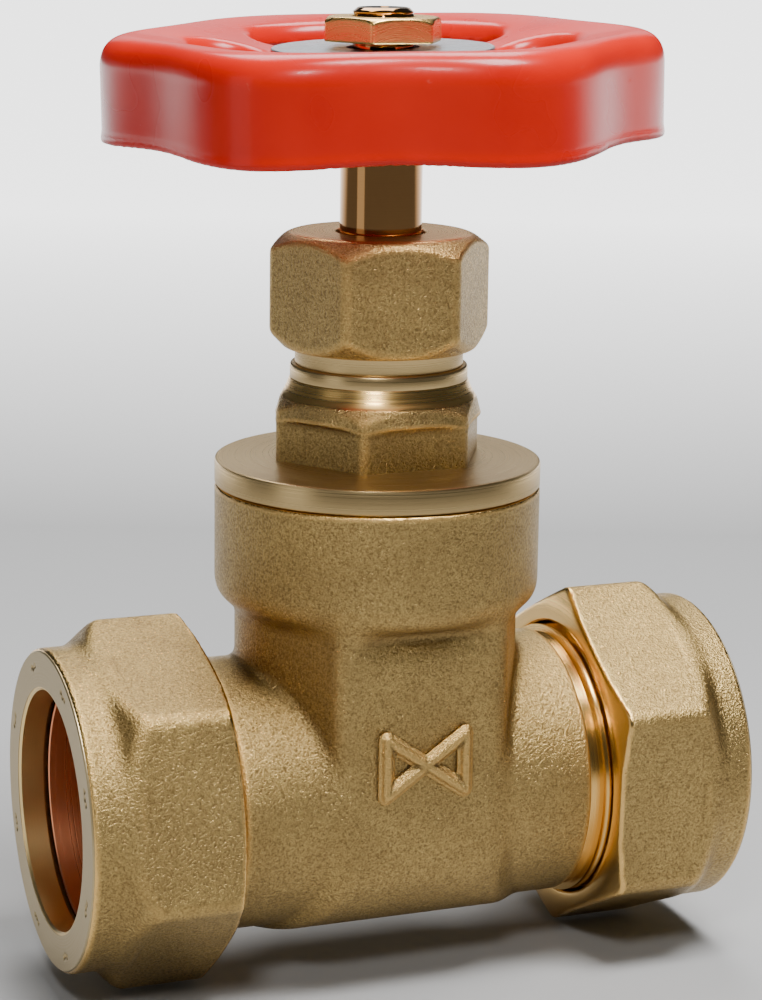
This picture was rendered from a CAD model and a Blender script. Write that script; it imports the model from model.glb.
from math import atan2, cos, pi, radians, sin, sqrt, tan

import bmesh
import bpy
import numpy as np
from mathutils import Matrix, Vector


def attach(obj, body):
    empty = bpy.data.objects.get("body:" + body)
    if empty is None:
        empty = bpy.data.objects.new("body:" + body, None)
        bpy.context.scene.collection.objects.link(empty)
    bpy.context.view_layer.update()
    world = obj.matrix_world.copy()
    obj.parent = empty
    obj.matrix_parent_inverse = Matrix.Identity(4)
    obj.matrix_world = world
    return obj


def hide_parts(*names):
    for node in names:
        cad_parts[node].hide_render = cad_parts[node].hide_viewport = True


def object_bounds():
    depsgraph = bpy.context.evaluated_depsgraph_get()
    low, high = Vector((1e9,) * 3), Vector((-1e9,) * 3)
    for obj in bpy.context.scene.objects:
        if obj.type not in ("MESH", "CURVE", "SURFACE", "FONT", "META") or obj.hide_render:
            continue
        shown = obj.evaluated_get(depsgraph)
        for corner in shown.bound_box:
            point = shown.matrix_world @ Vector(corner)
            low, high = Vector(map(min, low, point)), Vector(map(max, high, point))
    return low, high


# The brass gate valve. Shapes are worked out in millimetres and scaled once, when they become meshes.
# Forged and pressed pieces are distance functions, negative inside, whose zero level becomes the
# surface; turned pieces are outlines of (radius, distance) points swept round their axis.
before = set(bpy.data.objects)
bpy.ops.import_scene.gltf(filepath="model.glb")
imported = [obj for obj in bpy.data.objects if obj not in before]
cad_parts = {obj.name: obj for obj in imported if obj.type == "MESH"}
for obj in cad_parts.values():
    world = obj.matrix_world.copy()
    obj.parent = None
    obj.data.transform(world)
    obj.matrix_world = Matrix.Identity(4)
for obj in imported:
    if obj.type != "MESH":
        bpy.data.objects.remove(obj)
CAD_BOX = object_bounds()
MM = 0.001

# Ports and pipe sockets.
PORT_RADIUS = 12.9
PORT_CAST_END = 17.4
PORT_END_ROUND = 0.5
PORT_FILLET = 0.9
TURNED_END_START = PORT_CAST_END - 2.0
UNDERCUT_RADIUS = 12.55
PORT_THREAD_START = PORT_CAST_END + 1.0
PORT_THREAD_RADIUS = 13.2
PORT_THREAD_PITCH = 1.5
PORT_THREAD_DEPTH = 0.7
BODY_HALF_LENGTH = 25.0
SOCKET_RADIUS = 11.1
SOCKET_DEPTH = 11.0
WATERWAY_RADIUS = 9.0
MOUTH_CONE_RADIUS = 12.4

# Chamber and neck of the forging.
CHAMBER_FRONT = 13.3
CHAMBER_FLAT_HALF = 7.9
CHAMBER_SIDE = 13.6
CHAMBER_SIDE_HALF = 3.0
CHAMBER_BOTTOM = -12.9
CHAMBER_TOP = 20.5
CHAMBER_ROUND = 1.5
CHAMBER_BOTTOM_ROUND = 11.0
POCKET_HALF = 6.3
POCKET_RADIUS = 10.8
WEDGE_TAPER = radians(5.0)
NECK_RADIUS = 15.4
NECK_BOTTOM = 17.9
NECK_ROUND = 2.6
NECK_TOP = 29.17
NECK_TOP_ROUND = 0.4
NECK_SEAT = 23.0
NECK_BORE = 13.7
NECK_FILLET = 1.2
DISH_DEPTH = 1.3
DISH_HEIGHT = 17.0
DISH_HALF_HEIGHT = 1.5
DISH_HALF_WIDTH = 7.4
BODY_TURNED_DEPTH = 0.3
NECK_TURNED_DEPTH = 0.15

# Raised mark on the front: the bow-tie sign for a valve, in strokes.
MARK_HEIGHT_ON_BODY = 5.1
MARK_HALF_WIDTH = 3.9
MARK_HALF_HEIGHT = 2.7
MARK_STROKE = 0.5
MARK_RISE = 0.5
MARK_ROUND = 0.5
MARK_SPREAD = 0.3
MARK_SPREAD_HEIGHT = 0.25
MARK_SUNK = 0.2
MARK_ROOM = 1.2

# Compression nuts; lengths are measured from the outer face.
NUT_LENGTH = 14.3
NUT_COLLAR_RADIUS = 15.15
NUT_COLLAR_LENGTH = 2.75
NUT_COLLAR_ROUND = 0.45
NUT_COLLAR_BACK_ROUND = 0.4
NUT_COLLAR_OVERLAP = 2.0
NUT_ACROSS_FLATS = 30.5
NUT_HEX_ROUND = 0.9
NUT_HEAD_OVERLAP = 1.0
NUT_HEAD_FRONT_ROUND = 0.2
NUT_CONE_LENGTH = 2.6
NUT_CONE_SET_IN = 0.3
NUT_CONE_ROUND = 0.7
NUT_END_CHAMFER = 0.8
NUT_END_CONE_ROUND = 0.25
NUT_END_ROUND = 0.3
NUT_MOUTH_RADIUS = 11.25
NUT_BORE_RADIUS = 13.5
NUT_LIP = 2.4
NUT_REACH = 18.4
NUT_FACES = {"left": 32.3, "right": 33.45}
NUT_SIDES = {"left": -1.0, "right": 1.0}
NUT_HEX_TURNS = {"left": radians(12.4), "right": radians(2.5)}
NUT_TURNED_BORE = 0.25
NUT_TURNED_CONE = 0.22
NUT_TURNED_FACE = 0.3
NUT_TURNED_END = 0.2

# Turned rings that cover a nut's face and line its mouth.
RING_COVER = 0.25
RING_SET_BACK = 0.12
RING_INNER = 0.3
RING_DEPTH = 0.35
LINING_SUNK = 0.04
LINING_CHAMFER = 0.2
LINING_THICKNESS = 0.6
LINING_BACK = 0.4
PUNCH_GROUPS = 8
PUNCH_CIRCLE = 13.4
PUNCH_SIZE = 0.3
PUNCH_DEPTH = 0.22

# Olives.
OLIVE_RADIUS = 12.6
OLIVE_END_RADIUS = 11.35
OLIVE_INNER_END = 24.3
OLIVE_OUTER_END = 29.4

# Bonnet.
BONNET_BOTTOM = 24.0
SPIGOT_GAP = 0.3
SPIGOT_BORE = 11.9
CEILING_FOOT = 28.0
CEILING = 30.0
FLANGE_BOTTOM = 29.25
FLANGE_TOP = 31.6
FLANGE_RISE = 0.35
FLANGE_INNER = 9.4
BONNET_ACROSS_FLATS = 18.0
BONNET_HEX_TURN = radians(1.4)
BONNET_HEX_TOP = 37.5
BONNET_HEX_SUNK = 0.3
BONNET_CHAMFER = -1.55
BONNET_CHAMFER_ROUND = 0.4
BONNET_NECK_START = 36.0
BONNET_NECK_FOOT = 9.1
BONNET_NECK_TAPER = -0.4
BONNET_NECK_FILLET = 0.7
BONNET_NECK_OVERLAP = 0.2
BONNET_NECK_ROUND = 0.3
COLLAR_ROOM_RADIUS = 7.3
COLLAR_ROOM_TOP = 38.6
BAND_RADIUS = 8.35
BAND_BOTTOM = 39.4
BAND_TOP = 40.7
PLAIN_TOP = 42.3
PLAIN_SET_IN = 0.15
STUFFING_RADIUS = 8.05
STUFFING_BORE = 6.0
STUFFING_TOP = 49.0
GLAND_THREAD_PITCH = 1.25
GLAND_THREAD_DEPTH = 0.6

# Gland nut.
GLAND_NUT_BOTTOM = 42.2
GLAND_NUT_TOP = 53.0
GLAND_NUT_ROOF = 50.7
GLAND_ACROSS_FLATS = 18.4
GLAND_HEX_TURN = radians(51.4)
GLAND_TOP_RADIUS = 9.5
GLAND_TOP_DROP = 0.75
GLAND_TOP_SLOPE = -1.35
GLAND_TOP_ROUND = 0.5
GLAND_FOOT_RADIUS = 8.95
GLAND_FOOT_SLOPE = 0.98
GLAND_FOOT_ROUND = 0.2
GLAND_CONE_ROUND = 0.35
GLAND_TURNED_BORE = 0.5
SMALL_HEX_ROUND = 0.6
BORE_GAP = 0.3

# Stem.
STEM_BOTTOM = 8.5
STEM_SCREW_RADIUS = 3.5
STEM_SCREW_TOP = 33.0
STEM_RADIUS = 3.83
STEM_COLLAR_RADIUS = 6.0
STEM_COLLAR_BOTTOM = 36.3
STEM_COLLAR_TOP = 38.3
STEM_SHOULDER = 67.3
STEM_WAIST_RADIUS = 2.5
STEM_WAIST_TOP = 69.9
STEM_TIP_BOTTOM = 70.0
STEM_TIP_RADIUS = 2.8
STEM_TIP_PITCH = 0.7
STEM_TIP_THREAD = 0.3
STEM_TOP = 73.5
STEM_CENTRE_HOLE = 0.6
STEM_AXIS_GAP = 0.02

# Handwheel, its disc and its nut.
WHEEL_MEAN_RADIUS = 24.7
WHEEL_LOBES = 6
LOBE_DEPTH = 1.2
LOBE_DROP = 0.22
LOBE_ROUNDS = 3
SHEET = 1.3
SHEET_ROUND = 0.15
WHEEL_BOTTOM = 61.7
WHEEL_EDGE_GAP = 0.05
WHEEL_EDGE_ROUND = 0.9
HUB_TOP = 69.1
HUB_RADIUS = 10.6
HUB_HOLE = 3.3
HUB_FILLET = 0.6
WHEEL_CREST = 71.5
CREST_ROUND = 0.7
RIM_ROUND = 3.1
LIP_FLARE = 0.45
LIP_HEIGHT = 1.3
WHEEL_VALLEY_TURN = radians(-108.5)
DISH_RADIUS = 18.6
DISH_TOP = 70.8
WINDOWS = 3
WINDOW_INNER = 11.4
WINDOW_OUTER = 17.4
WINDOW_SPAN = radians(74.0)
WINDOW_EDGE_WIDTH = 1.3
WINDOW_EDGE_DROP = 0.9
WINDOW_EDGE_ROUND = 0.8
WHEEL_LEAN = radians(2.0)
WHEEL_LEAN_AXIS = radians(-58.4)
DISC_RADIUS = 10.3
DISC_HOLE = 3.4
DISC_BOTTOM = HUB_TOP + 0.3
DISC_THICKNESS = 0.5
WHEEL_NUT_BOTTOM = 70.4
WHEEL_NUT_TOP = 72.7
WHEEL_NUT_ACROSS_FLATS = 10.0
WHEEL_NUT_TURN = radians(-0.6)
WHEEL_NUT_HEX_ROUND = 0.3
WHEEL_NUT_CONE_RADIUS = 5.5
WHEEL_NUT_CONE_DROP = 0.25
WHEEL_NUT_CONE_SLOPE = -1.7
WHEEL_NUT_TOP_ROUND = 0.2
WHEEL_NUT_FOOT_ROUND = 0.15
WHEEL_NUT_HOLE_GAP = 0.12

# How shapes become meshes: steps, in millimetres, of the grids that find surfaces, and other limits.
BODY_STEP = 0.32
MARK_STEP = 0.11
NUT_STEP = 0.3
SMALL_NUT_STEP = 0.22
WHEEL_STEP = 0.33
WHEEL_NUT_STEP = 0.12
ROOM = 0.5
SETTLE_ROUNDS = 3
LEAST_SLOPE_SQUARED = 0.25
BEND_PROBE = 0.35
TURNED_BLEND = 0.12
BORE_EDGE_ROUND = 0.3
SHARP_ROUND = 0.1
ROUND_STEPS = 160
FLANGE_STEPS = 240
STEM_STEPS = 128
FACE_RING_STEPS = 600
SHARP_ANGLE = radians(32.0)
SAME_PLACE = 0.01
THREAD_FLANK = 1.25
ALONG_X = {
    "left": Matrix.Rotation(-pi / 2.0, 4, "Y"),
    "right": Matrix.Rotation(pi / 2.0, 4, "Y"),
}

# Colours: red, green and blue from 0 to 1.
DARK_BRASS = (0.20, 0.125, 0.048)
FORGED_COLOURS = (DARK_BRASS, (0.68, 0.475, 0.175), (0.90, 0.57, 0.19))
STEM_COLOURS = (DARK_BRASS, (0.31, 0.16, 0.060), (0.38, 0.20, 0.075))
FACE_COLOURS = (DARK_BRASS, (0.46, 0.37, 0.21), (0.52, 0.41, 0.23))
FLANGE_COLOURS = (DARK_BRASS, (0.50, 0.37, 0.19), (0.62, 0.44, 0.20))
BORE_COLOURS = (DARK_BRASS, (0.86, 0.64, 0.30), (0.94, 0.70, 0.32))
COPPER_COLOURS = ((0.50, 0.14, 0.06), (0.90, 0.36, 0.19), (0.95, 0.40, 0.21))
PAINT_COLOURS = ((0.56, 0.006, 0.001), (0.68, 0.013, 0.002))
SCUFF_COLOUR = (0.70, 0.10, 0.06)
DISC_COLOURS = ((0.62, 0.70, 0.74), (0.45, 0.53, 0.58))
YARN_COLOURS = ((0.02, 0.02, 0.02), (0.12, 0.12, 0.12))
FIBRE_COLOURS = ((0.25, 0.09, 0.06), (0.42, 0.20, 0.13))
FLOOR_COLOURS = ((0.40, 0.40, 0.40), (0.44, 0.44, 0.44))
WORLD_COLOUR = (0.88, 0.98, 1.0, 1.0)

# Grain of the materials: scales are repeats per metre, and heights are in metres.
FORGED_GRAIN = 5200.0
SPECK_GRAIN = FORGED_GRAIN * 0.62
FORGED_HEIGHT = 0.0002
FORGED_ROUGHNESS = (0.42, 0.26)
CLOUDS = 160.0
LATHE_LINES = 9000.0
LATHE_HEIGHT = 0.000012
PAINT_CLOUDS = 90.0
PAINT_SCUFFS = 420.0
PAINT_WAVES = 700.0
PAINT_HEIGHT = 0.00002
PAINT_COAT = 0.12
PAINT_COAT_ROUGHNESS = 0.08
PAINT_SPECULAR = 0.25
ROLLING_LINES = (400.0, 9000.0, 400.0)
ROLLING_HEIGHT = 0.00001
FIBRES = 2500.0
FIBRE_HEIGHT = 0.0001

# Camera, in millimetres.
CAMERA_AZIMUTH = radians(-21.64)
CAMERA_ELEVATION = radians(12.55)
CAMERA_ROLL = radians(0.8)
CAMERA_DISTANCE = 272.66
CAMERA_AIM = (0.76, 26.7)
LENS = 101.18
CLIP_START = 0.01

# Studio: the floor's own numbers are in metres, the soft boxes' in millimetres and watts.
FLOOR_HALF = 6.0
FLOOR_GAP = 0.0002
FLOOR_ROUGHNESS = 0.9
FLOOR_CLOUDS = 3.0
AWAY = (0.37, 0.93, 0.0)
GLOW_START = 0.18
GLOW_END = 0.60
GLOW = 3.0
RING_START = 0.35
RING_END = 1.5
RING_GLOW = 0.45
WORLD_STRENGTH = 0.05
VALVE_MIDDLE = (0.0, 0.0, 28.0)
SOFT_BOXES = (
    ("overhead_front", (60.0, -120.0, 430.0), (160.0, 160.0), 3.2),
    ("overhead_back", (60.0, 230.0, 400.0), (240.0, 240.0), 1.7),
    ("key", (-160.0, -320.0, 330.0), (70.0, 70.0), 0.65),
    ("left_box", (-330.0, -60.0, 90.0), (140.0, 200.0), 0.08),
    ("back_box", (160.0, 420.0, 190.0), (300.0, 120.0), 0.10),
)


# ---------------------------------------------------------------- distance functions

def smooth_max(first, second, width):
    """The larger of two distances, with the edge where they cross rounded over about that width."""
    overlap = np.maximum(width - np.abs(first - second), 0.0) / width
    return np.maximum(first, second) + overlap ** 2 * width / 4.0


def smooth_min(first, second, width):
    """The smaller of two distances, with a fillet in the corner where they cross."""
    return -smooth_max(-first, -second, width)


def hexagon(u, v, across_flats, turn, rounding):
    """Distance to a hexagonal prism whose first corner points at turn."""
    distance = None
    for number in range(6):
        angle = turn + radians(30.0 + 60.0 * number)
        side = u * cos(angle) + v * sin(angle) - across_flats / 2.0
        distance = side if distance is None else smooth_max(distance, side, rounding)
    return distance


def cone(radius, height, at_radius, at_height, slope):
    """Distance to a cone that passes a point and grows by slope for each millimetre of height."""
    return (radius - at_radius - (height - at_height) * slope) / sqrt(1.0 + slope * slope)


def trough_distance(y, z):
    """Distance to the chamber's bottom: flat sides that meet a flat floor in large arcs."""
    across = np.abs(y) - (CHAMBER_FRONT - CHAMBER_BOTTOM_ROUND)
    below = CHAMBER_BOTTOM + CHAMBER_BOTTOM_ROUND - z
    outside = np.hypot(np.maximum(across, 0.0), np.maximum(below, 0.0))
    return outside + np.minimum(np.maximum(across, below), 0.0) - CHAMBER_BOTTOM_ROUND


def chamber_distance(x, y, z):
    """The chamber: a flat front with a shallow dish under the neck, slanted sides and a round bottom."""
    along = np.abs(x)
    slant = atan2(CHAMBER_FRONT - CHAMBER_SIDE_HALF, CHAMBER_SIDE - CHAMBER_FLAT_HALF)
    slanted = (along - CHAMBER_FLAT_HALF) * sin(slant) + (np.abs(y) - CHAMBER_FRONT) * cos(slant)
    dish = np.exp(-(((z - DISH_HEIGHT) / DISH_HALF_HEIGHT) ** 2))
    dish = dish * np.maximum(1.0 - (x / DISH_HALF_WIDTH) ** 2, 0.0)
    shape = smooth_max(np.abs(y) - CHAMBER_FRONT + DISH_DEPTH * dish, slanted, CHAMBER_ROUND)
    shape = smooth_max(shape, along - CHAMBER_SIDE, CHAMBER_ROUND)
    shape = smooth_max(shape, trough_distance(y, z), CHAMBER_ROUND)
    return smooth_max(shape, z - CHAMBER_TOP, CHAMBER_ROUND)


def body_hollow(x, y, z):
    """The waterway, the pipe sockets, the wedge's pocket and the bonnet's seat."""
    along = np.abs(x)
    port_radius = np.hypot(y, z)
    pocket_side = along - POCKET_HALF - z * tan(WEDGE_TAPER)
    pocket = np.maximum(pocket_side, np.hypot(y, np.minimum(z, 0.0)) - POCKET_RADIUS)
    socket = np.maximum(port_radius - SOCKET_RADIUS, BODY_HALF_LENGTH - SOCKET_DEPTH - along)
    seat = np.maximum(np.hypot(x, y) - NECK_BORE, NECK_SEAT - z)
    return np.minimum(np.minimum(port_radius - WATERWAY_RADIUS, pocket), np.minimum(socket, seat))


def body_distance(x, y, z):
    """The forging: two ports, the chamber and the neck, hollowed for the pipe, the wedge and the bonnet."""
    port = smooth_max(np.hypot(y, z) - PORT_RADIUS, np.abs(x) - PORT_CAST_END, PORT_END_ROUND)
    neck = smooth_max(np.hypot(x, y) - NECK_RADIUS, NECK_BOTTOM - z, NECK_ROUND)
    shape = smooth_min(port, chamber_distance(x, y, z), PORT_FILLET)
    shape = smooth_min(shape, neck, NECK_FILLET)
    shape = smooth_max(shape, z - NECK_TOP, NECK_TOP_ROUND)
    return smooth_max(shape, -body_hollow(x, y, z), BORE_EDGE_ROUND)


def body_machined(x, y, z):
    """The forging is turned only inside and on the neck's top face."""
    return np.maximum(BODY_TURNED_DEPTH - body_hollow(x, y, z), z - NECK_TOP + NECK_TURNED_DEPTH)


def nut_profile(label):
    """Distance and finish functions of one compression nut, whose outer face looks out along the pipe."""
    side = NUT_SIDES[label]
    corner = NUT_ACROSS_FLATS / sqrt(3.0)
    cone_start = NUT_COLLAR_LENGTH + NUT_CONE_SET_IN
    cone_length = NUT_COLLAR_LENGTH + NUT_CONE_LENGTH - cone_start
    slope = (corner - NUT_COLLAR_RADIUS + NUT_CONE_SET_IN) / cone_length
    end_slope = (NUT_ACROSS_FLATS / 2.0 - NUT_CONE_SET_IN - corner) / NUT_END_CHAMFER

    def end_cone(radius, depth):
        return cone(radius, depth, corner, NUT_LENGTH - NUT_END_CHAMFER, end_slope)

    def distance(x, y, z):
        depth = NUT_FACES[label] - side * x
        radius = np.hypot(y, z)
        front_cone = cone(radius, depth, NUT_COLLAR_RADIUS - NUT_CONE_SET_IN, cone_start, slope)
        head = hexagon(-side * z, y, NUT_ACROSS_FLATS, NUT_HEX_TURNS[label], NUT_HEX_ROUND)
        head = smooth_max(head, front_cone, NUT_CONE_ROUND)
        head = smooth_max(head, cone_start - NUT_HEAD_OVERLAP - depth, NUT_HEAD_FRONT_ROUND)
        head = smooth_max(head, end_cone(radius, depth), NUT_END_CONE_ROUND)
        head = smooth_max(head, depth - NUT_LENGTH, NUT_END_ROUND)
        collar = smooth_max(radius - NUT_COLLAR_RADIUS, RING_SET_BACK - depth, NUT_COLLAR_ROUND)
        collar_end = depth - NUT_COLLAR_LENGTH - NUT_COLLAR_OVERLAP
        collar = smooth_max(collar, collar_end, NUT_COLLAR_BACK_ROUND)
        shape = smooth_min(head, collar, NUT_CONE_ROUND)
        mouth = radius - NUT_MOUTH_RADIUS - RING_COVER
        seat = cone(radius, depth, NUT_MOUTH_RADIUS + RING_COVER, NUT_LIP, 1.0)
        bore = np.minimum(mouth, np.maximum(radius - NUT_BORE_RADIUS, seat))
        return smooth_max(shape, -bore, BORE_EDGE_ROUND)

    def machined(x, y, z):
        depth = NUT_FACES[label] - side * x
        radius = np.hypot(y, z)
        bore = NUT_BORE_RADIUS + NUT_TURNED_BORE - radius
        inner = np.maximum(bore, end_cone(radius, depth) + NUT_TURNED_CONE)
        return np.maximum(np.maximum(inner, NUT_TURNED_FACE - depth), depth - NUT_LENGTH + NUT_TURNED_END)

    return distance, machined


def bonnet_hex_distance(x, y, z):
    """The bonnet's chamfered hexagon with the turned neck above it, bored for the stem's collar."""
    radius = np.hypot(x, y)
    flats = hexagon(x, y, BONNET_ACROSS_FLATS, BONNET_HEX_TURN, SMALL_HEX_ROUND)
    chamfer = cone(radius, z, BONNET_ACROSS_FLATS / 2.0, BONNET_HEX_TOP, BONNET_CHAMFER)
    flats = smooth_max(flats, chamfer, BONNET_CHAMFER_ROUND)
    neck = cone(radius, z, BONNET_NECK_FOOT, BONNET_HEX_TOP, BONNET_NECK_TAPER)
    neck = smooth_max(neck, BONNET_NECK_START - z, SHARP_ROUND)
    shape = smooth_min(flats, neck, BONNET_NECK_FILLET)
    shape = smooth_max(shape, z - BAND_BOTTOM - BONNET_NECK_OVERLAP, BONNET_NECK_ROUND)
    shape = smooth_max(shape, FLANGE_TOP - BONNET_HEX_SUNK - z, SHARP_ROUND)
    hole, room = radius - STEM_RADIUS - BORE_GAP, radius - COLLAR_ROOM_RADIUS
    return np.maximum(shape, -np.where(z > COLLAR_ROOM_TOP, hole, room))


def bonnet_hex_machined(x, y, z):
    """The bonnet is turned above its hexagon."""
    return z - BONNET_HEX_TOP - SHARP_ROUND


def gland_distance(x, y, z):
    """Gland nut: chamfered hexagon, open below."""
    radius = np.hypot(x, y)
    top = cone(radius, z, GLAND_TOP_RADIUS, GLAND_NUT_TOP - GLAND_TOP_DROP, GLAND_TOP_SLOPE)
    foot = cone(radius, z, GLAND_FOOT_RADIUS, GLAND_NUT_BOTTOM, GLAND_FOOT_SLOPE)
    shape = hexagon(x, y, GLAND_ACROSS_FLATS, GLAND_HEX_TURN, SMALL_HEX_ROUND)
    shape = smooth_max(shape, top, GLAND_CONE_ROUND)
    shape = smooth_max(shape, foot, GLAND_CONE_ROUND)
    shape = smooth_max(shape, z - GLAND_NUT_TOP, GLAND_TOP_ROUND)
    shape = smooth_max(shape, GLAND_NUT_BOTTOM - z, GLAND_FOOT_ROUND)
    bore = np.maximum(radius - STUFFING_RADIUS - BORE_GAP, z - GLAND_NUT_ROOF)
    hole = radius - STEM_RADIUS - BORE_GAP
    return smooth_max(shape, -np.minimum(bore, hole), BORE_EDGE_ROUND)


def gland_machined(x, y, z):
    """The gland nut is turned only in its bore."""
    return STUFFING_RADIUS + GLAND_TURNED_BORE - np.hypot(x, y)


def wheel_nut_distance(x, y, z):
    """The small nut that holds the wheel: a hexagon with its top chamfered."""
    radius = np.hypot(x, y)
    height = WHEEL_NUT_TOP - WHEEL_NUT_CONE_DROP
    chamfer = cone(radius, z, WHEEL_NUT_CONE_RADIUS, height, WHEEL_NUT_CONE_SLOPE)
    shape = hexagon(x, y, WHEEL_NUT_ACROSS_FLATS, WHEEL_NUT_TURN, WHEEL_NUT_HEX_ROUND)
    shape = smooth_max(shape, chamfer, WHEEL_NUT_TOP_ROUND)
    shape = smooth_max(shape, z - WHEEL_NUT_TOP, WHEEL_NUT_TOP_ROUND)
    shape = smooth_max(shape, WHEEL_NUT_BOTTOM - z, WHEEL_NUT_FOOT_ROUND)
    return smooth_max(shape, STEM_TIP_RADIUS + WHEEL_NUT_HOLE_GAP - radius, BORE_EDGE_ROUND)


def machined_all_over(x, y, z):
    """For pieces that are turned or milled everywhere."""
    return np.ones_like(x)


def wheel_space(x, y, z):
    """Undo the wheel's lean and lobes: radius, turn and height in the plain round wheel."""
    axis = np.array((cos(WHEEL_LEAN_AXIS), sin(WHEEL_LEAN_AXIS)))
    up = z - HUB_TOP
    across = -x * axis[1] + y * axis[0]
    along = x * axis[0] + y * axis[1]
    flat = across * cos(WHEEL_LEAN) + up * sin(WHEEL_LEAN)
    height = HUB_TOP + up * cos(WHEEL_LEAN) - across * sin(WHEEL_LEAN)
    level_x = along * axis[0] - flat * axis[1]
    level_y = along * axis[1] + flat * axis[0]
    turn = np.arctan2(level_y, level_x)
    seen = np.hypot(level_x, level_y)
    wave = np.cos(WHEEL_LOBES * (turn - WHEEL_VALLEY_TURN))
    radius = seen
    for _ in range(LOBE_ROUNDS):
        reach = np.maximum(0.0, (radius - HUB_RADIUS) / (WHEEL_MEAN_RADIUS - HUB_RADIUS)) ** 2
        radius = seen + reach * wave * LOBE_DEPTH
    down = (WHEEL_CREST - height) / (WHEEL_CREST - WHEEL_BOTTOM)
    return radius, turn, height - reach * wave * down * LOBE_DROP


def window_distance(radius, turn):
    """Distance to the nearest kidney window's edge, negative inside it."""
    middle = (WINDOW_INNER + WINDOW_OUTER) / 2.0
    half_width = (WINDOW_OUTER - WINDOW_INNER) / 2.0
    nearest = None
    for number in range(WINDOWS):
        centre = WHEEL_VALLEY_TURN + pi + 2.0 * pi * number / WINDOWS
        offset = np.abs((turn - centre + pi) % (2.0 * pi) - pi)
        past = np.maximum(offset - WINDOW_SPAN / 2.0, 0.0)
        ends = np.hypot(radius * np.cos(past) - middle, radius * np.sin(past)) - half_width
        nearest = ends if nearest is None else np.minimum(nearest, ends)
    return nearest


def wheel_distance(x, y, z):
    """Pressed wheel: hub, dished web with windows turned down at their edges, crest and skirt."""
    radius, turn, height = wheel_space(x, y, z)
    window = window_distance(radius, turn)
    rise = HUB_TOP + (radius - HUB_RADIUS) * (DISH_TOP - HUB_TOP) / (DISH_RADIUS - HUB_RADIUS)
    top = smooth_min(smooth_max(rise, HUB_TOP, HUB_FILLET), WHEEL_CREST, CREST_ROUND)
    near = np.clip(1.0 - window / WINDOW_EDGE_WIDTH, 0.0, 1.0)
    top = top - WINDOW_EDGE_DROP * near * near
    in_lip = np.clip((WHEEL_BOTTOM + LIP_HEIGHT - height) / LIP_HEIGHT, 0.0, 1.0)
    skirt = radius - WHEEL_MEAN_RADIUS - LIP_FLARE * in_lip ** 2
    outside = smooth_max(height - top, skirt, RIM_ROUND)
    shell = smooth_max(outside, -outside - SHEET, SHEET_ROUND)
    shell = smooth_max(shell, WHEEL_BOTTOM + WHEEL_EDGE_GAP - height, WHEEL_EDGE_ROUND)
    shell = smooth_max(shell, -window, WINDOW_EDGE_ROUND)
    return np.maximum(shell, HUB_HOLE - radius)


def mark_distance(x, y, z):
    """Bow-tie valve sign in raised strokes that spread where they meet the casting."""
    w, h = MARK_HALF_WIDTH, MARK_HALF_HEIGHT
    corners = ((-w, -h), (-w, h), (w, -h), (w, h))
    stroke = None
    for first, second in zip(corners, corners[1:] + corners[:1]):
        across, up = second[0] - first[0], second[1] - first[1]
        from_x, from_z = x - first[0], z - MARK_HEIGHT_ON_BODY - first[1]
        share = np.clip((from_x * across + from_z * up) / (across * across + up * up), 0.0, 1.0)
        line = np.hypot(from_x - share * across, from_z - share * up)
        stroke = line if stroke is None else np.minimum(stroke, line)
    height = -CHAMBER_FRONT - y
    side = stroke - MARK_STROKE - MARK_SPREAD * np.clip(1.0 - height / MARK_SPREAD_HEIGHT, 0.0, 1.0) ** 2
    return np.maximum(smooth_max(height - MARK_RISE, side, MARK_ROUND), -MARK_SUNK - height)


def surface(distance, low, high, step):
    """Corners and four-sided faces of a distance function's zero level inside a box."""
    axes = [np.arange(start, end + step, step) for start, end in zip(low, high)]
    field = distance(*np.meshgrid(*axes, indexing="ij"))
    inside = field < 0.0
    shape = tuple(count - 1 for count in field.shape)
    total = np.zeros(shape + (3,))
    crossings = np.zeros(shape)
    for axis in range(3):
        others = [other for other in range(3) if other != axis]
        for shift in ((0, 0), (0, 1), (1, 0), (1, 1)):
            near = [slice(0, count) for count in shape]
            for other, moved in zip(others, shift):
                near[other] = slice(moved, shape[other] + moved)
            far = list(near)
            far[axis] = slice(1, shape[axis] + 1)
            start, end = field[tuple(near)], field[tuple(far)]
            crossed = inside[tuple(near)] != inside[tuple(far)]
            part = np.where(crossed, start / np.where(crossed, start - end, 1.0), 0.0)
            total[..., axis] += part
            for other, moved in zip(others, shift):
                total[..., other] += crossed * moved
            crossings += crossed
    used = crossings > 0
    number = np.full(shape, -1)
    number[used] = np.arange(np.count_nonzero(used))
    cells = np.argwhere(used)
    points = np.array(low) + (cells + total[used] / crossings[used][:, None]) * step
    return settle(distance, points, step), cell_faces(inside, number)


def cell_faces(inside, number):
    """A four-sided face round every grid edge that crosses the surface, from the numbers of its cells."""
    shape = number.shape
    faces = []
    for axis in range(3):
        second, third = (axis + 1) % 3, (axis + 2) % 3
        near = [slice(1, count) for count in shape]
        near[axis] = slice(0, shape[axis])
        far = list(near)
        far[axis] = slice(1, shape[axis] + 1)
        for leaving in (True, False):
            flips = (inside[tuple(near)] == leaving) & (inside[tuple(far)] != leaving)
            corner = np.argwhere(flips) + [0 if k == axis else 1 for k in range(3)]
            ring = []
            for back_second, back_third in ((0, 0), (1, 0), (1, 1), (0, 1)):
                cell = corner.copy()
                cell[:, second] -= back_second
                cell[:, third] -= back_third
                ring.append(number[tuple(cell.T)])
            faces.append(np.stack(ring if leaving else ring[::-1], axis=1))
    return np.concatenate(faces)


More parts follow.
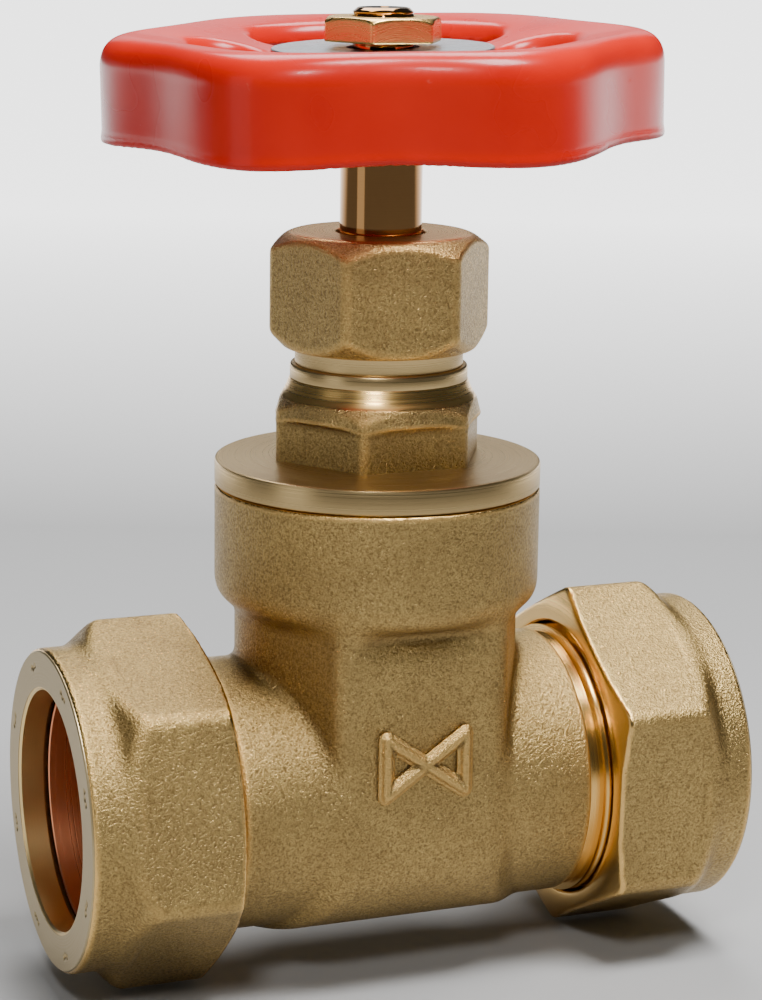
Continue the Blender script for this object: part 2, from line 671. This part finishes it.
def settle(distance, points, step):
    """Move points onto the zero level along the slope of the distance function."""
    probe = step / 20.0
    for _ in range(SETTLE_ROUNDS):
        value = distance(*points.T)
        slope = np.empty_like(points)
        for axis in range(3):
            nudge = np.zeros(3)
            nudge[axis] = probe
            slope[:, axis] = (distance(*(points + nudge).T) - distance(*(points - nudge).T)) / (2.0 * probe)
        size = np.maximum((slope ** 2).sum(axis=1), LEAST_SLOPE_SQUARED)
        move = slope * (value / size)[:, None]
        points = points - np.clip(move, -step / 2.0, step / 2.0)
    return points


def bend(distance, points):
    """How sharply the surface bends, per millimetre: positive on outer edges, negative in corners."""
    total = -6.0 * distance(*points.T)
    for axis in range(3):
        nudge = np.zeros(3)
        nudge[axis] = BEND_PROBE
        total += distance(*(points + nudge).T) + distance(*(points - nudge).T)
    return total / BEND_PROBE ** 2


# ---------------------------------------------------------------- meshes

def store(mesh, name, values):
    """Keep one number at each corner of a mesh, for its material to read."""
    layer = mesh.attributes.new(name, "FLOAT", "POINT")
    layer.data.foreach_set("value", values.astype(np.float32))


def add_object(name, data):
    made = bpy.data.objects.new(name, data)
    bpy.context.scene.collection.objects.link(made)
    return made


def finish_piece(made, body, node, finish):
    """Give a piece its material, the body it moves with and the CAD node it stands for."""
    made.data.materials.append(finish)
    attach(made, body)
    if node:
        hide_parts(node)


def formed(name, distance, low, high, step, machined=None):
    """A piece from a distance function; machined is a function, positive where a tool has cut."""
    points, faces = surface(distance, low, high, step)
    mesh = bpy.data.meshes.new(name)
    mesh.from_pydata((points * MM).tolist(), [], faces.tolist())
    share = np.zeros(len(points))
    if machined:
        share = np.clip(0.5 + machined(*points.T) / TURNED_BLEND, 0.0, 1.0)
    store(mesh, "machined", share)
    store(mesh, "curve", bend(distance, points))
    mesh.shade_smooth()
    return add_object(name, mesh)


def turned(name, outline, place=None, steps=ROUND_STEPS, shaping=None):
    """A piece swept round Z from a closed outline; shaping(turn, radius, height) may move each point."""
    bm = bmesh.new()
    rings = []
    for number in range(steps):
        turn = 2.0 * pi * number / steps
        ring = []
        for radius, height in outline:
            if shaping:
                radius, height = shaping(turn, radius, height)
            ring.append(bm.verts.new((radius * cos(turn) * MM, radius * sin(turn) * MM, height * MM)))
        rings.append(ring)
    for number in range(steps):
        here, there = rings[number], rings[(number + 1) % steps]
        for first in range(len(outline)):
            second = (first + 1) % len(outline)
            bm.faces.new((here[first], there[first], there[second], here[second]))
    bmesh.ops.recalc_face_normals(bm, faces=bm.faces)
    mesh = bpy.data.meshes.new(name)
    bm.to_mesh(mesh)
    bm.free()
    store(mesh, "machined", np.ones(len(mesh.vertices)))
    if place:
        mesh.transform(place)
    mesh.shade_smooth()
    mesh.set_sharp_from_angle(angle=SHARP_ANGLE)
    return add_object(name, mesh)


def run(start, end, count):
    """Points evenly along a straight stretch of an outline, without its last point."""
    return [
        (start[0] + (end[0] - start[0]) * k / count, start[1] + (end[1] - start[1]) * k / count)
        for k in range(count)
    ]


def screw_thread(top_radius, low, high, pitch, depth):
    """Shaping that cuts a screw thread below an outside radius, faded out at both ends."""

    def shaping(turn, radius, height):
        if abs(radius - top_radius) > SAME_PLACE or not low < height < high:
            return radius, height
        phase = (height / pitch - turn / (2.0 * pi)) % 1.0
        fade = min(1.0, (height - low) / pitch, (high - height) / pitch)
        cut = 1.0 - min(1.0, THREAD_FLANK * abs(2.0 * phase - 1.0))
        return radius - depth * fade * cut, height

    return shaping


def punched(face):
    """Shaping that sinks small round punch dots, in groups of three, into a flat turned face."""

    def shaping(turn, radius, height):
        if abs(height - face) > SAME_PLACE:
            return radius, height
        share = turn / (2.0 * pi) * PUNCH_GROUPS % 1.0 - 0.5
        along = (share * 2.0 * pi / PUNCH_GROUPS) * PUNCH_CIRCLE
        sunk = 0.0
        for number in (-1.0, 0.0, 1.0):
            across = along - number * PUNCH_SIZE * 2.0
            inwards = radius - PUNCH_CIRCLE - abs(number) * PUNCH_SIZE / 2.0
            gap = sqrt(across * across + inwards ** 2)
            sunk = max(sunk, 1.0 - gap / PUNCH_SIZE)
        return radius, height - PUNCH_DEPTH * min(1.0, 2.0 * sunk)

    return shaping


# ---------------------------------------------------------------- materials

def add(tree, kind, inputs=(), **settings):
    """One shader node; inputs are (name or number, value or socket) pairs."""
    made = tree.nodes.new("ShaderNode" + kind)
    for key, value in settings.items():
        setattr(made, key, value)
    for key, value in dict(inputs).items():
        if isinstance(value, bpy.types.NodeSocket):
            tree.links.new(value, made.inputs[key])
        else:
            made.inputs[key].default_value = value
    return made


def noise(tree, place, scale, detail=2.0, roughness=0.5):
    inputs = (("Vector", place), ("Scale", scale), ("Detail", detail), ("Roughness", roughness))
    return add(tree, "TexNoise", inputs).outputs["Fac"]


def spread(tree, value, low, high, start, end):
    """Map a value from low..high to start..end, clamped."""
    inputs = (("Value", value), ("From Min", low), ("From Max", high), ("To Min", start), ("To Max", end))
    return add(tree, "MapRange", inputs).outputs["Result"]


def mixed(tree, share, first, second):
    """Blend of two colours, each three numbers or a socket."""
    made = add(tree, "Mix", (("Factor", share),), data_type="RGBA")
    colours = [socket for socket in made.inputs if socket.type == "RGBA"]
    for socket, value in zip(colours, (first, second)):
        if isinstance(value, bpy.types.NodeSocket):
            tree.links.new(value, socket)
        else:
            socket.default_value = (*value, 1.0)
    return [socket for socket in made.outputs if socket.type == "RGBA"][0]


def calculate(tree, operation, first, second=0.0):
    return add(tree, "Math", ((0, first), (1, second)), operation=operation).outputs[0]


def stored(tree, name):
    """The number that store() kept under this name."""
    return add(tree, "Attribute", attribute_name=name).outputs["Fac"]


def new_material(name, metallic, coat=0.0):
    made = bpy.data.materials.new(name)
    made.use_nodes = True
    shader = made.node_tree.nodes["Principled BSDF"]
    shader.inputs["Metallic"].default_value = metallic
    shader.inputs["Coat Weight"].default_value = coat
    place = add(made.node_tree, "TexCoord").outputs["Object"]
    return made, made.node_tree, shader, place


def lathe_rings(tree, place, axis):
    """Fine noise that is the same all round the lathe's axis, which is a coordinate's number."""
    parts = add(tree, "SeparateXYZ", ((0, place),)).outputs
    squares = [calculate(tree, "POWER", parts[k], 2.0) for k in range(3) if k != axis]
    radius = calculate(tree, "SQRT", calculate(tree, "ADD", *squares))
    reach = calculate(tree, "ADD", radius, parts[axis])
    inputs = (("W", reach), ("Scale", LATHE_LINES), ("Detail", 2.0))
    return add(tree, "TexNoise", inputs, noise_dimensions="1D").outputs["Fac"]


def brass(name, colours, axis, polish, lathe):
    """Blasted forging with a sandy grain, and a turned finish where the machined share is one.

    colours are dark, light and bright; axis is the number of the coordinate along the lathe's axis;
    polish is the turned finish's range of roughness, and lathe the strength of its lines.
    """
    dark, light, bright = colours
    made, tree, shader, place = new_material(name, 1.0)
    machined, curve = stored(tree, "machined"), stored(tree, "curve")
    rings = lathe_rings(tree, place, axis)
    fine = calculate(tree, "MULTIPLY", noise(tree, place, FORGED_GRAIN, 3.0, 0.6), 0.65)
    specks = calculate(tree, "MULTIPLY", noise(tree, place, SPECK_GRAIN, 2.0, 0.5), 0.35)
    grit = calculate(tree, "ADD", fine, specks)
    cloud = noise(tree, place, CLOUDS, 3.0)

    forged = mixed(tree, spread(tree, grit, 0.38, 0.62, 0.15, 0.95), dark, light)
    forged = mixed(tree, spread(tree, cloud, 0.35, 0.75, 0.0, 0.3), forged, dark)
    forged = mixed(tree, spread(tree, curve, -0.2, -1.2, 0.0, 0.55), forged, dark)
    forged = mixed(tree, spread(tree, curve, 0.3, 1.6, 0.0, 0.5), forged, bright)
    cut = mixed(tree, spread(tree, rings, 0.3, 0.7, 0.0, 0.3), bright, light)
    tree.links.new(mixed(tree, machined, forged, cut), shader.inputs["Base Color"])

    rough = spread(tree, grit, 0.35, 0.65, *FORGED_ROUGHNESS)
    smooth = spread(tree, rings, 0.3, 0.7, *polish)
    blend = add(tree, "Mix", (("Factor", machined), ("A", rough), ("B", smooth)), data_type="FLOAT")
    tree.links.new(blend.outputs["Result"], shader.inputs["Roughness"])

    coarse = add(tree, "Bump", (("Height", grit), ("Distance", FORGED_HEIGHT)))
    tree.links.new(spread(tree, machined, 0.0, 1.0, 1.0, 0.0), coarse.inputs["Strength"])
    inputs = (("Height", rings), ("Distance", LATHE_HEIGHT), ("Normal", coarse.outputs["Normal"]))
    lines = add(tree, "Bump", inputs)
    tree.links.new(spread(tree, machined, 0.0, 1.0, 0.0, lathe), lines.inputs["Strength"])
    tree.links.new(lines.outputs["Normal"], shader.inputs["Normal"])
    return made


def paint():
    """Gloss enamel with a faint orange-peel surface and a few dull scuffs."""
    made, tree, shader, place = new_material("red_enamel", 0.0, PAINT_COAT)
    shader.inputs["Coat Roughness"].default_value = PAINT_COAT_ROUGHNESS
    shader.inputs["Specular IOR Level"].default_value = PAINT_SPECULAR
    cloud = noise(tree, place, PAINT_CLOUDS, 2.0)
    colour = mixed(tree, spread(tree, cloud, 0.3, 0.7, 0.0, 1.0), *PAINT_COLOURS)
    scuffs = spread(tree, noise(tree, place, PAINT_SCUFFS, 4.0, 0.7), 0.68, 0.74, 0.0, 0.5)
    tree.links.new(mixed(tree, scuffs, colour, SCUFF_COLOUR), shader.inputs["Base Color"])
    rough = calculate(tree, "ADD", spread(tree, cloud, 0.3, 0.7, 0.24, 0.34), scuffs)
    tree.links.new(rough, shader.inputs["Roughness"])
    waves = noise(tree, place, PAINT_WAVES, 2.0)
    peel = add(tree, "Bump", (("Height", waves), ("Distance", PAINT_HEIGHT), ("Strength", 0.35)))
    tree.links.new(peel.outputs["Normal"], shader.inputs["Normal"])
    return made


def sheet_metal(name, light, dark):
    """Satin rolled sheet with straight rolling lines."""
    made, tree, shader, place = new_material(name, 1.0)
    along = add(tree, "Mapping", (("Vector", place), ("Scale", ROLLING_LINES))).outputs["Vector"]
    lines = noise(tree, along, 1.0, 3.0)
    colour = mixed(tree, spread(tree, lines, 0.3, 0.7, 0.0, 1.0), light, dark)
    tree.links.new(colour, shader.inputs["Base Color"])
    tree.links.new(spread(tree, lines, 0.3, 0.7, 0.22, 0.36), shader.inputs["Roughness"])
    bump = add(tree, "Bump", (("Height", lines), ("Distance", ROLLING_HEIGHT), ("Strength", 0.5)))
    tree.links.new(bump.outputs["Normal"], shader.inputs["Normal"])
    return made


def soft_fibre(name, dark, light):
    """Matt packing yarn or gasket sheet."""
    made, tree, shader, place = new_material(name, 0.0)
    fibres = noise(tree, place, FIBRES, 4.0, 0.7)
    tree.links.new(mixed(tree, fibres, dark, light), shader.inputs["Base Color"])
    tree.links.new(spread(tree, fibres, 0.3, 0.7, 0.6, 0.85), shader.inputs["Roughness"])
    bump = add(tree, "Bump", (("Height", fibres), ("Distance", FIBRE_HEIGHT), ("Strength", 0.6)))
    tree.links.new(bump.outputs["Normal"], shader.inputs["Normal"])
    return made


# ---------------------------------------------------------------- pieces

def make_body(forged):
    low, high = (-18.0, -16.0, -13.6), (18.0, 16.0, 29.4)
    made = formed("valve_body_forging", body_distance, low, high, BODY_STEP, body_machined)
    finish_piece(made, "valve_body", "body", forged)
    thread, low, high = PORT_THREAD_RADIUS, PORT_THREAD_START, BODY_HALF_LENGTH
    outline = [(SOCKET_RADIUS, TURNED_END_START), (UNDERCUT_RADIUS, TURNED_END_START)]
    outline += [(UNDERCUT_RADIUS, low - 0.1)]
    outline += run((thread, low), (thread, high - 0.3), 44)
    outline += [(thread, high - 0.3), (thread - 0.4, high), (MOUTH_CONE_RADIUS, high)]
    outline += [(SOCKET_RADIUS, high - MOUTH_CONE_RADIUS + SOCKET_RADIUS)]
    shaping = screw_thread(thread, low, high - 0.2, PORT_THREAD_PITCH, PORT_THREAD_DEPTH)
    for label in ("left", "right"):
        end = turned(f"{label}_port_thread", outline, ALONG_X[label], shaping=shaping)
        finish_piece(end, "valve_body", None, forged)


def make_mark(forged):
    half = (MARK_HALF_WIDTH + MARK_ROOM, MARK_HALF_HEIGHT + MARK_ROOM)
    low = (-half[0], -CHAMBER_FRONT - MARK_RISE - 0.3, MARK_HEIGHT_ON_BODY - half[1])
    high = (half[0], -CHAMBER_FRONT + ROOM, MARK_HEIGHT_ON_BODY + half[1])
    made = formed("raised_valve_sign", mark_distance, low, high, MARK_STEP)
    finish_piece(made, "valve_body", None, forged)


def make_compression_nut(label, forged, dull, bright):
    distance, machined = nut_profile(label)
    body, face, side = f"{label}_nut", NUT_FACES[label], NUT_SIDES[label]
    ends = sorted((side * (face + ROOM), side * (face - NUT_LENGTH - ROOM)))
    low, high = (ends[0], -NUT_REACH, -NUT_REACH), (ends[1], NUT_REACH, NUT_REACH)
    made = formed(f"{label}_nut_forging", distance, low, high, NUT_STEP, machined)
    finish_piece(made, body, f"{label}_compression_nut", forged)

    rim, mouth = NUT_COLLAR_RADIUS - RING_COVER, NUT_MOUTH_RADIUS
    outline = [(rim, face - RING_DEPTH), (rim, face - RING_SET_BACK), (rim - 0.1, face)]
    outline += run((rim - 0.15, face), (mouth + 0.35, face), 30)
    outline += [(mouth + RING_INNER, face), (mouth + RING_INNER, face - RING_DEPTH)]
    name, place = f"{label}_nut_face_ring", ALONG_X[label]
    ring = turned(name, outline, place, steps=FACE_RING_STEPS, shaping=punched(face))
    finish_piece(ring, body, None, dull)

    outer = mouth + LINING_THICKNESS
    outline = [(mouth + 0.35, face - LINING_SUNK), (mouth + LINING_CHAMFER, face - LINING_SUNK)]
    outline += [(mouth, face - 0.24), (mouth, face - NUT_LIP)]
    outline += [(outer, face - NUT_LIP - LINING_THICKNESS), (outer, face - LINING_BACK)]
    lining = turned(f"{label}_nut_mouth", outline, place)
    finish_piece(lining, body, None, bright)


def make_olive(label, copper):
    rise = OLIVE_RADIUS - OLIVE_END_RADIUS
    shift = NUT_FACES[label] - NUT_FACES["left"]
    inner, outer = OLIVE_INNER_END + shift, OLIVE_OUTER_END + shift
    outline = [(SOCKET_RADIUS, inner + 0.1), (SOCKET_RADIUS + 0.1, inner), (OLIVE_END_RADIUS, inner)]
    outline += run((OLIVE_END_RADIUS + 0.05, inner), (OLIVE_RADIUS, inner + rise), 4)
    outline += [(OLIVE_RADIUS, inner + rise), (OLIVE_RADIUS, outer - rise)]
    outline += [(OLIVE_END_RADIUS, outer), (SOCKET_RADIUS + 0.1, outer), (SOCKET_RADIUS, outer - 0.1)]
    made = turned(f"{label}_copper_olive", outline, ALONG_X[label])
    finish_piece(made, f"{label}_olive", f"{label}_olive", copper)


def make_bonnet(forged, dull):
    low, high = (-11.0, -11.0, 31.0), (11.0, 11.0, 40.0)
    made = formed("bonnet_hexagon", bonnet_hex_distance, low, high, SMALL_NUT_STEP, bonnet_hex_machined)
    finish_piece(made, "valve_body", "bonnet", forged)

    spigot, rim, top = NECK_BORE - SPIGOT_GAP, NECK_RADIUS, FLANGE_TOP
    flange = [(SPIGOT_BORE, BONNET_BOTTOM), (spigot, BONNET_BOTTOM), (spigot, FLANGE_BOTTOM)]
    flange += [(rim - 0.12, FLANGE_BOTTOM), (rim, FLANGE_BOTTOM + 0.12)]
    flange += [(rim, top - 0.25), (rim - 0.07, top - 0.08), (rim - 0.25, top)]
    flange += run((rim - 0.4, top), (FLANGE_INNER, top + FLANGE_RISE), 8)
    flange += [(COLLAR_ROOM_RADIUS, top + FLANGE_RISE), (COLLAR_ROOM_RADIUS, CEILING)]
    flange += [(SPIGOT_BORE, CEILING_FOOT)]
    plate = turned("bonnet_flange", flange, steps=FLANGE_STEPS)
    finish_piece(plate, "valve_body", None, dull)

    band, thread, top = BAND_RADIUS, STUFFING_RADIUS, STUFFING_TOP
    neck = [(STUFFING_BORE, BAND_BOTTOM - 0.4), (band - 0.1, BAND_BOTTOM - 0.4), (band, BAND_BOTTOM - 0.1)]
    neck += [(band, BAND_TOP - 0.25), (band - 0.1, BAND_TOP - 0.08), (band - 0.25, BAND_TOP)]
    neck += [(thread - PLAIN_SET_IN, BAND_TOP), (thread - PLAIN_SET_IN, PLAIN_TOP)]
    neck += run((thread, PLAIN_TOP + 0.3), (thread, top - 0.4), 60)
    neck += [(thread, top - 0.4), (thread - 0.3, top), (STUFFING_BORE, top)]
    shaping = screw_thread(thread, PLAIN_TOP + 0.2, top - 0.2, GLAND_THREAD_PITCH, GLAND_THREAD_DEPTH)
    made = turned("bonnet_gland_thread", neck, shaping=shaping)
    finish_piece(made, "valve_body", None, dull)


def make_gland_nut(forged):
    low, high = (-11.2, -11.2, GLAND_NUT_BOTTOM - ROOM), (11.2, 11.2, GLAND_NUT_TOP + ROOM)
    made = formed("gland_nut_forging", gland_distance, low, high, SMALL_NUT_STEP, gland_machined)
    finish_piece(made, "gland_nut", "gland_nut", forged)


def make_stem(polished):
    """Stem and its screwed tip; the screw below and the thrust collar stay hidden in the bonnet."""
    screw, shank, collar = STEM_SCREW_RADIUS, STEM_RADIUS, STEM_COLLAR_RADIUS
    waist, tip, top, hole = STEM_WAIST_RADIUS, STEM_TIP_RADIUS, STEM_TOP, STEM_CENTRE_HOLE
    outline = [(STEM_AXIS_GAP, STEM_BOTTOM), (screw - 0.3, STEM_BOTTOM), (screw, STEM_BOTTOM + 0.3)]
    outline += [(screw, STEM_SCREW_TOP), (shank, STEM_SCREW_TOP + 0.3), (shank, STEM_COLLAR_BOTTOM)]
    outline += [(collar, STEM_COLLAR_BOTTOM), (collar, STEM_COLLAR_TOP), (shank, STEM_COLLAR_TOP)]
    outline += [(shank, STEM_SHOULDER - 0.2), (shank - 0.2, STEM_SHOULDER), (waist, STEM_SHOULDER)]
    outline += run((waist, STEM_SHOULDER + 0.1), (waist, STEM_WAIST_TOP), 2)
    outline += run((tip, STEM_TIP_BOTTOM), (tip, top - 0.4), 24)
    outline += [(tip, top - 0.4), (tip - 0.4, top - 0.05), (tip - 0.6, top)]
    outline += [(hole, top), (hole / 2.0, top - 0.2), (STEM_AXIS_GAP, top - 0.3)]
    shaping = screw_thread(tip, STEM_TIP_BOTTOM, top - 0.3, STEM_TIP_PITCH, STEM_TIP_THREAD)
    made = turned("polished_stem", outline, steps=STEM_STEPS, shaping=shaping)
    finish_piece(made, "stem", "stem", polished)


def make_handwheel(enamel, sheet, nut_finish):
    low, high = (-27.0, -27.0, 60.0), (27.0, 27.0, 73.4)
    made = formed("pressed_handwheel", wheel_distance, low, high, WHEEL_STEP)
    finish_piece(made, "stem", "handwheel", enamel)

    rim, bottom, top = DISC_RADIUS, DISC_BOTTOM, DISC_BOTTOM + DISC_THICKNESS
    outline = [(DISC_HOLE, bottom), (rim - 0.1, bottom), (rim, bottom + 0.1)]
    outline += [(rim, top - 0.1), (rim - 0.1, top)]
    outline += run((rim - 0.4, top), (DISC_HOLE, top), 6)
    outline += [(DISC_HOLE, top)]
    hub = Matrix.Translation((0.0, 0.0, HUB_TOP * MM))
    axis = (cos(WHEEL_LEAN_AXIS), sin(WHEEL_LEAN_AXIS), 0.0)
    leaning = hub @ Matrix.Rotation(WHEEL_LEAN, 4, axis) @ hub.inverted()
    disc = turned("blank_identity_disc", outline, leaning)
    finish_piece(disc, "stem", "identity_disc", sheet)

    low, high = (-6.2, -6.2, WHEEL_NUT_BOTTOM - 0.3), (6.2, 6.2, WHEEL_NUT_TOP + 0.3)
    nut = formed("wheel_fixing_nut", wheel_nut_distance, low, high, WHEEL_NUT_STEP, machined_all_over)
    finish_piece(nut, "stem", "wheel_nut", nut_finish)


def finish_hidden_nodes(turned_brass, forged):
    """The pieces inside keep their CAD meshes and take detailed materials."""
    yarn = soft_fibre("graphite_yarn", *YARN_COLOURS)
    fibre = soft_fibre("red_fibre", *FIBRE_COLOURS)
    finishes = {
        "stem_retaining_nut": turned_brass,
        "gland_follower": turned_brass,
        "wedge": forged,
        "bonnet_gasket": fibre,
        "packing_ring_lower": yarn,
        "packing_ring_middle": yarn,
        "packing_ring_upper": yarn,
    }
    for name, finish in finishes.items():
        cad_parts[name].data.materials.clear()
        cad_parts[name].data.materials.append(finish)


def build():
    pipe, stem = 0, 2
    forged_x = brass("forged_brass_pipe", FORGED_COLOURS, pipe, (0.16, 0.27), 0.7)
    forged_z = brass("forged_brass_stem", FORGED_COLOURS, stem, (0.24, 0.34), 0.5)
    polished = brass("polished_brass", STEM_COLOURS, stem, (0.06, 0.10), 0.08)
    dull = brass("dull_turned_brass", FACE_COLOURS, pipe, (0.34, 0.46), 0.4)
    flange = brass("flange_brass", FLANGE_COLOURS, stem, (0.26, 0.40), 0.5)
    bore = brass("bored_brass", BORE_COLOURS, pipe, (0.28, 0.36), 0.3)
    copper = brass("turned_copper", COPPER_COLOURS, pipe, (0.26, 0.40), 0.4)
    make_body(forged_x)
    make_mark(forged_x)
    for label in ("left", "right"):
        make_compression_nut(label, forged_x, dull, bore)
        make_olive(label, copper)
    make_bonnet(forged_z, flange)
    make_gland_nut(forged_z)
    make_stem(polished)
    make_handwheel(paint(), sheet_metal("satin_disc", *DISC_COLOURS), forged_z)
    finish_hidden_nodes(forged_z, forged_x)


# ---------------------------------------------------------------- studio

def make_camera():
    level_share = cos(CAMERA_ELEVATION)
    back = Vector(
        (sin(CAMERA_AZIMUTH) * level_share, -cos(CAMERA_AZIMUTH) * level_share, sin(CAMERA_ELEVATION))
    )
    level = Vector((0.0, 0.0, 1.0)).cross(back).normalized()
    upright = back.cross(level)
    right = level * cos(CAMERA_ROLL) + upright * sin(CAMERA_ROLL)
    up = upright * cos(CAMERA_ROLL) - level * sin(CAMERA_ROLL)
    place = right * CAMERA_AIM[0] + up * CAMERA_AIM[1] + back * CAMERA_DISTANCE
    data = bpy.data.cameras.new("camera")
    data.lens = LENS
    data.clip_start = CLIP_START
    camera = add_object("camera", data)
    camera.matrix_world = Matrix.Translation(place * MM) @ Matrix((right, up, back)).transposed().to_4x4()
    bpy.context.scene.camera = camera


def make_light(name, place, size, power):
    """A soft box at a place in millimetres, facing the middle of the valve."""
    data = bpy.data.lights.new(name, "AREA")
    data.shape = "RECTANGLE"
    data.size, data.size_y = (length * MM for length in size)
    data.energy = power
    lamp = add_object(name, data)
    lamp.location = Vector(place) * MM
    lamp.rotation_euler = (Vector(VALVE_MIDDLE) - Vector(place)).to_track_quat("-Z", "Y").to_euler()


def floor_finish():
    """Pale matt floor that glows far behind the valve, and faintly all round, like a lit backdrop."""
    finish, tree, shader, place = new_material("pale_floor", 0.0)
    shader.inputs["Roughness"].default_value = FLOOR_ROUGHNESS
    tone = mixed(tree, noise(tree, place, FLOOR_CLOUDS, 2.0), *FLOOR_COLOURS)
    tree.links.new(tone, shader.inputs["Base Color"])
    shader.inputs["Emission Color"].default_value = (1.0, 1.0, 1.0, 1.0)
    away = add(tree, "VectorMath", ((0, place), (1, AWAY)), operation="DOT_PRODUCT").outputs["Value"]
    behind = spread(tree, away, GLOW_START, GLOW_END, 0.0, GLOW)
    reach = add(tree, "VectorMath", ((0, place),), operation="LENGTH").outputs["Value"]
    around = spread(tree, reach, RING_START, RING_END, 0.0, RING_GLOW)
    tree.links.new(calculate(tree, "MAXIMUM", behind, around), shader.inputs["Emission Strength"])
    return finish


def make_floor():
    low, _ = CAD_BOX
    bm = bmesh.new()
    bmesh.ops.create_grid(bm, x_segments=1, y_segments=1, size=FLOOR_HALF)
    mesh = bpy.data.meshes.new("floor")
    bm.to_mesh(mesh)
    bm.free()
    mesh.materials.append(floor_finish())
    floor = add_object("floor", mesh)
    floor.location.z = low.z - FLOOR_GAP


def make_studio():
    make_floor()
    world = bpy.data.worlds.new("studio")
    world.use_nodes = True
    background = world.node_tree.nodes["Background"]
    background.inputs["Color"].default_value = WORLD_COLOUR
    background.inputs["Strength"].default_value = WORLD_STRENGTH
    bpy.context.scene.world = world
    for name, place, size, power in SOFT_BOXES:
        make_light(name, place, size, power)


make_camera()
build()
make_studio()
